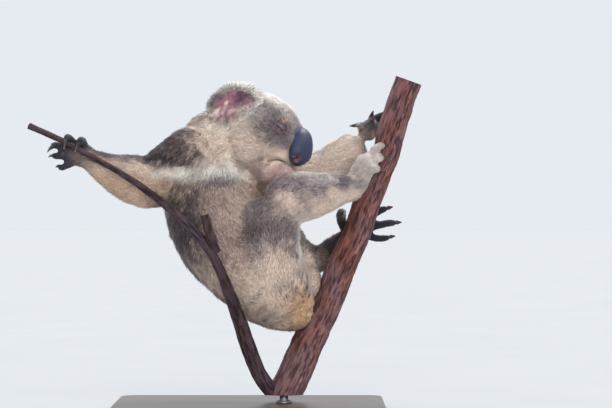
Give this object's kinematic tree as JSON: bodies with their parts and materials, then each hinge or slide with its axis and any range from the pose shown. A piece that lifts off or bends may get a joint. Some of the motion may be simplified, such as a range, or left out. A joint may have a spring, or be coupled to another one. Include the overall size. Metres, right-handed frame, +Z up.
{
  "type": "koala figure",
  "caption": "Life-size koala dozing in the fork of a branch, arms spread to hold it, on a plain flat display stand.",
  "frame": {"origin": "centre of the underside of the stand's base, on the floor", "axes": "+Z up; +X towards the main stem that the koala faces, the way its long arms and body spread; its right side looks towards -Y"},
  "size_m": [0.6244, 0.31, 0.5416],
  "materials": {
    "grey_fur": "soft short fur",
    "cream_fur": "soft short fur",
    "white_fur": "soft fluffy fur",
    "paw_skin": "rough dark pads with short fur",
    "nose": "fine grain, slightly moist",
    "eye": "polished",
    "claw": "smooth horn",
    "bark": "rough fibrous bark",
    "stand_base": "satin lacquer",
    "stand_rod": "brushed"
  },
  "bodies": {
    "root": {"perch_stem": "bark", "perch_branch_lower": "bark", "perch_branch_upper": "bark", "perch_stub": "bark", "rump": "cream_fur", "chest": "white_fur", "head": "grey_fur", "nose_pad": "nose", "eye_right": "eye", "ear_right": "white_fur", "eye_left": "eye", "ear_left": "white_fur", "neck": "white_fur", "upper_arm_right": "grey_fur", "forearm_right": "cream_fur", "hand_right": "paw_skin", "claw_hand_right_1": "claw", "claw_hand_right_2": "claw", "claw_hand_right_3": "claw", "claw_hand_right_4": "claw", "claw_hand_right_5": "claw", "upper_arm_left": "grey_fur", "forearm_left": "cream_fur", "hand_left": "paw_skin", "claw_hand_left_1": "claw", "claw_hand_left_2": "claw", "claw_hand_left_3": "claw", "claw_hand_left_4": "claw", "claw_hand_left_5": "claw", "thigh_right": "grey_fur", "shin_right": "grey_fur", "foot_right": "paw_skin", "claw_foot_right_1": "claw", "claw_foot_right_2": "claw", "claw_foot_right_3": "claw", "thigh_left": "grey_fur", "shin_left": "grey_fur", "foot_left": "paw_skin", "claw_foot_left_1": "claw", "claw_foot_left_2": "claw", "claw_foot_left_3": "claw", "stand_base": "stand_base", "stand_rod_front": "stand_rod", "stand_rod_back": "stand_rod"}
  },
  "joints": []
}
